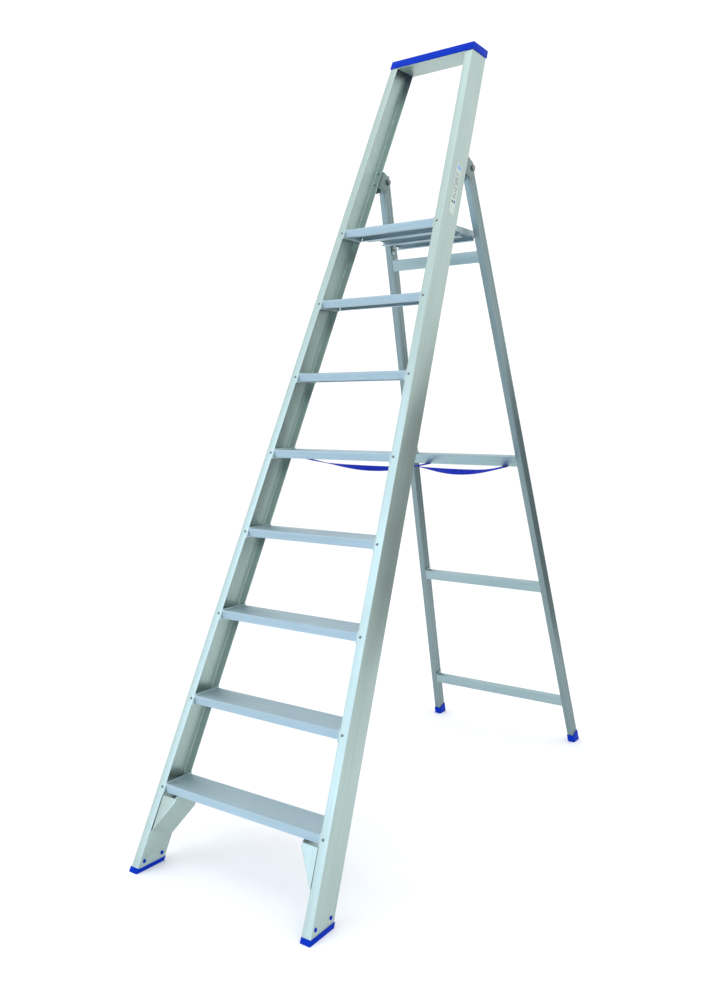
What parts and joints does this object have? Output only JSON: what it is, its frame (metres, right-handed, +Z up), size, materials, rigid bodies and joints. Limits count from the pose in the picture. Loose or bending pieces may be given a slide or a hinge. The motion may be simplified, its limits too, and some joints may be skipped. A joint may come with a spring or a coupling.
{
  "type": "step ladder",
  "caption": "Tall aluminium step ladder with a folding platform, a hoop with a blue cap above it, blue feet and two blue spreader straps.",
  "frame": {"origin": "middle of the ladder's box at floor level, ladder standing open", "axes": "+Z up, -Y towards the person climbing, +X to that person's right"},
  "size_m": [0.6852, 1.8522, 2.637],
  "materials": {
    "stile_aluminium": "satin extruded, mill finish with light grain along the length",
    "tread_aluminium": "satin extruded, ribbed top",
    "bracket_aluminium": "plain pressed sheet",
    "rivet_aluminium": "bright formed heads",
    "hinge_aluminium": "cast, dull",
    "rear_aluminium": "satin extruded tube",
    "blue_plastic": "moulded, semi-matt",
    "blue_webbing": "woven polyester webbing",
    "zinc_steel": "zinc plated, slightly dull",
    "black_nylon": "moulded nylon",
    "label_vinyl": "printed vinyl, no lettering"
  },
  "bodies": {
    "front_frame": {"stile_left": "stile_aluminium", "stile_right": "stile_aluminium", "tread_1": "tread_aluminium", "tread_2": "tread_aluminium", "tread_3": "tread_aluminium", "tread_4": "tread_aluminium", "tread_5": "tread_aluminium", "tread_6": "tread_aluminium", "tread_7": "tread_aluminium", "tread_8": "tread_aluminium", "tread_brackets_left": "bracket_aluminium", "tread_brackets_right": "bracket_aluminium", "tread_rivets_left": "rivet_aluminium", "tread_rivets_right": "rivet_aluminium", "top_rail": "stile_aluminium", "top_cap": "blue_plastic", "front_foot_left": "blue_plastic", "front_foot_right": "blue_plastic", "foot_pins_left": "blue_plastic", "foot_pins_right": "blue_plastic", "foot_brace_left": "stile_aluminium", "foot_brace_right": "stile_aluminium", "hinge_bracket_left": "hinge_aluminium", "hinge_bracket_right": "hinge_aluminium", "hinge_rivets_left": "rivet_aluminium", "hinge_rivets_right": "rivet_aluminium", "hinge_bolt_left": "zinc_steel", "hinge_bolt_right": "zinc_steel", "hinge_nut_left": "zinc_steel", "hinge_nut_right": "zinc_steel", "hinge_washer_left": "black_nylon", "hinge_washer_right": "black_nylon", "label": "label_vinyl", "pivot_bracket_left": "bracket_aluminium", "pivot_bracket_right": "bracket_aluminium", "pivot_pin_left": "zinc_steel", "pivot_pin_right": "zinc_steel", "strap_left": "blue_webbing", "strap_right": "blue_webbing", "tread_strap_rivets": "rivet_aluminium"},
    "rear_frame": {"rear_leg_left": "rear_aluminium", "rear_leg_right": "rear_aluminium", "rear_bar_1": "rear_aluminium", "rear_bar_2": "rear_aluminium", "rear_bar_3": "rear_aluminium", "rear_bar_4": "rear_aluminium", "bar_plates_left": "bracket_aluminium", "bar_plates_right": "bracket_aluminium", "rear_foot_left": "blue_plastic", "rear_foot_right": "blue_plastic", "platform_rest_left": "bracket_aluminium", "platform_rest_right": "bracket_aluminium", "rest_bolts": "zinc_steel", "bar_strap_rivets": "rivet_aluminium"},
    "platform": {"platform_front_board": "tread_aluminium", "platform_rear_board": "tread_aluminium", "platform_side_left": "stile_aluminium", "platform_side_right": "stile_aluminium"}
  },
  "joints": [
    {"name": "rear_fold", "type": "hinge", "parent": "front_frame", "child": "rear_frame", "pos_m": [0, 0.1903, 2.2], "axis": [-1, 0, 0], "range_deg": [0, 41.7], "deforming": ["strap_left", "strap_right"]},
    {"name": "platform_fold", "type": "hinge", "parent": "front_frame", "child": "platform", "pos_m": [0, 0.06977, 1.989], "axis": [1, 0, 0], "range_deg": [0, 50.1]}
  ],
  "couplings": [
    {"joint": "platform_fold", "follows": "rear_fold", "ratio": 1.2}
  ]
}
